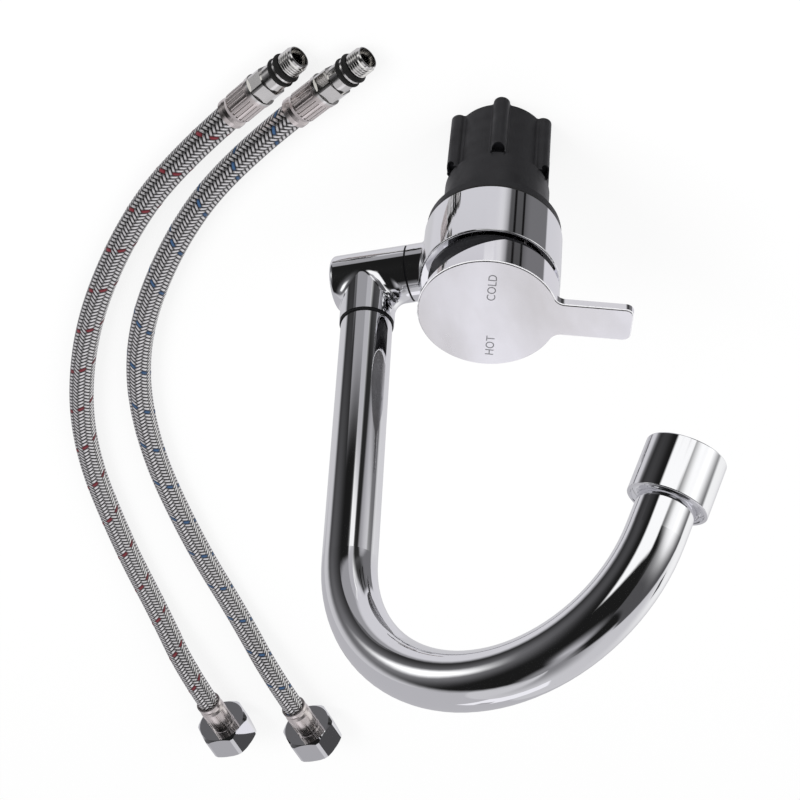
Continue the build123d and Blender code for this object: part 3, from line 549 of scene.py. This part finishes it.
def make_hose(name, route, hand, tracer_material):
    """One hose: liner and the braid's two families of strands, with the CAD hose tube hidden.

    The photo is a composite whose chrome doesn't mirror the hoses, so mirrors don't see them here.
    """
    liner = hose_curve(f"{name}_hose", route)
    liner.data.materials.append(looks["braided_hose"])
    path = centreline(liner)
    for side, word in ((1, "right"), (-1, "left")):
        tracer = TRACER_STRAND if side == hand else None
        materials = [looks["wire"], tracer_material]
        piece = braid(f"{name}_braid_{word}", path, side, materials, tracer)
        piece.visible_glossy = False
        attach(piece, "tap")
    liner.visible_glossy = False
    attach(liner, "tap")
    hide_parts(f"{name}_hose_tube")


def make_floor():
    """Plain pale floor that keeps the object's shadow, and that mirrors don't see."""
    data = bpy.data.meshes.new("floor")
    half, z = FLOOR_HALF, (FLOOR_Z - FLOOR_DROP) * MM
    corners = [(-half, -half, z), (half, -half, z), (half, half, z), (-half, half, z)]
    data.from_pydata(corners, [], [(0, 1, 2, 3)])
    floor = bpy.data.objects.new("floor", data)
    scene.collection.objects.link(floor)
    material = bpy.data.materials.new("floor_white")
    material.use_nodes = True
    material.node_tree.nodes.clear()
    graph = Graph(material.node_tree)
    diffuse = graph.add("ShaderNodeBsdfDiffuse")
    graph.put(FLOOR_PALE, diffuse.inputs["Color"])
    glow = graph.add("ShaderNodeEmission")
    graph.put(WHITE, glow.inputs["Color"])
    seen = graph.add("ShaderNodeLightPath").outputs["Is Camera Ray"]
    both = graph.add("ShaderNodeMixShader")
    graph.put(graph.maths("MULTIPLY", seen, FLOOR_GLOW), both.inputs["Fac"])
    graph.put(diffuse.outputs[0], both.inputs[1])
    graph.put(glow.outputs[0], both.inputs[2])
    output = graph.add("ShaderNodeOutputMaterial")
    graph.put(both.outputs[0], output.inputs["Surface"])
    data.materials.append(material)
    floor.visible_glossy = False


def grey(level, tint):
    """A grey, a little towards lavender by its tint."""
    return (level, level * (1 - 0.3 * tint), level * (1 + tint))


def make_world():
    """Plain soft light for matt surfaces, and the studio's cards and gaps for mirrors."""
    world = bpy.data.worlds.new("studio")
    scene.world = world
    world.use_nodes = True
    world.node_tree.nodes.clear()
    sky = Sky(world.node_tree, grey(*STUDIO_GREY))
    for *area, level, tint, lean in STUDIO:
        sky.patch(*area, grey(level, tint), lean)
    rays = sky.add("ShaderNodeLightPath").outputs
    plain = sky.mix(rays["Is Camera Ray"], AMBIENT, WHITE)
    light = sky.add("ShaderNodeBackground")
    sky.put(sky.mix(rays["Is Glossy Ray"], plain, sky.colour), light.inputs["Color"])
    output = sky.add("ShaderNodeOutputWorld")
    sky.put(light.outputs[0], output.inputs["Surface"])


def make_lamp(name, place, size, power):
    """Soft lamp aimed at the tap. Mirrors see the world's cards in its place."""
    data = bpy.data.lights.new(name, "AREA")
    data.shape = "RECTANGLE"
    data.size, data.size_y = size
    data.energy = power
    lamp = bpy.data.objects.new(name, data)
    lamp.visible_glossy = False
    lamp.location = place
    lamp.rotation_mode = "QUATERNION"
    lamp.rotation_quaternion = (Vector(LAMP_TARGET) - Vector(place)).to_track_quat("-Z", "Y")
    scene.collection.objects.link(lamp)


make_camera()
looks = {
    "chrome": chrome(),
    "handle": handle_chrome(),
    "ink": plain_metal("engraved_grey", (0.36, 0.36, 0.37), (0.46, 0.46, 0.47), (0.5, 0.65)),
    "dome": painted_shade_black(),
    "brass": plain_metal("turned_brass", (0.66, 0.5, 0.25), (0.78, 0.62, 0.34), (0.16, 0.3), 1500),
    "nickel": plain_metal("bright_nickel", (0.7, 0.69, 0.67), (0.8, 0.79, 0.77), (0.1, 0.2)),
    "ferrule": plain_metal("ferrule_nickel", (0.66, 0.61, 0.59), (0.78, 0.72, 0.7), (0.16, 0.28)),
    "steel": plain_metal("plain_steel", (0.5, 0.5, 0.51), (0.6, 0.6, 0.61), (0.2, 0.35)),
    "black_plastic": backnut_plastic(),
    "cartridge_plastic": plain_plastic(
        "cartridge_grey", (0.62, 0.63, 0.65), (0.72, 0.73, 0.75), (0.4, 0.55)),
    "ceramic": plain_plastic("lapped_ceramic", (0.9, 0.89, 0.86), (0.94, 0.93, 0.91), (0.12, 0.2)),
    "aerator_plastic": plain_plastic(
        "dark_moulding", (0.004, 0.004, 0.005), (0.01, 0.01, 0.011), (0.4, 0.6), 0.15),
    "black_rubber": rubber(),
    "braided_hose": plain_plastic(
        "hose_liner", (0.01, 0.01, 0.01), (0.02, 0.019, 0.018), (0.5, 0.7)),
    "wire": strand_wire(),
    "red": tracer_yarn("tracer_red", (0.06, 0.004, 0.007), (0.17, 0.014, 0.024)),
    "blue": tracer_yarn("tracer_blue", (0.008, 0.02, 0.05), (0.03, 0.09, 0.2)),
}
make_hose("hot", HOT_ROUTE, -1, looks["red"])
make_hose("cold", COLD_ROUTE, 1, looks["blue"])
dress_nodes()
lettering()
make_floor()
make_world()
make_lamp("key", (-0.6, 0.7, 1.0), (0.7, 0.7), 9)
make_lamp("fill", (0.8, 0.2, 0.7), (0.5, 0.9), 4)
scene.view_settings.view_transform = "Standard"
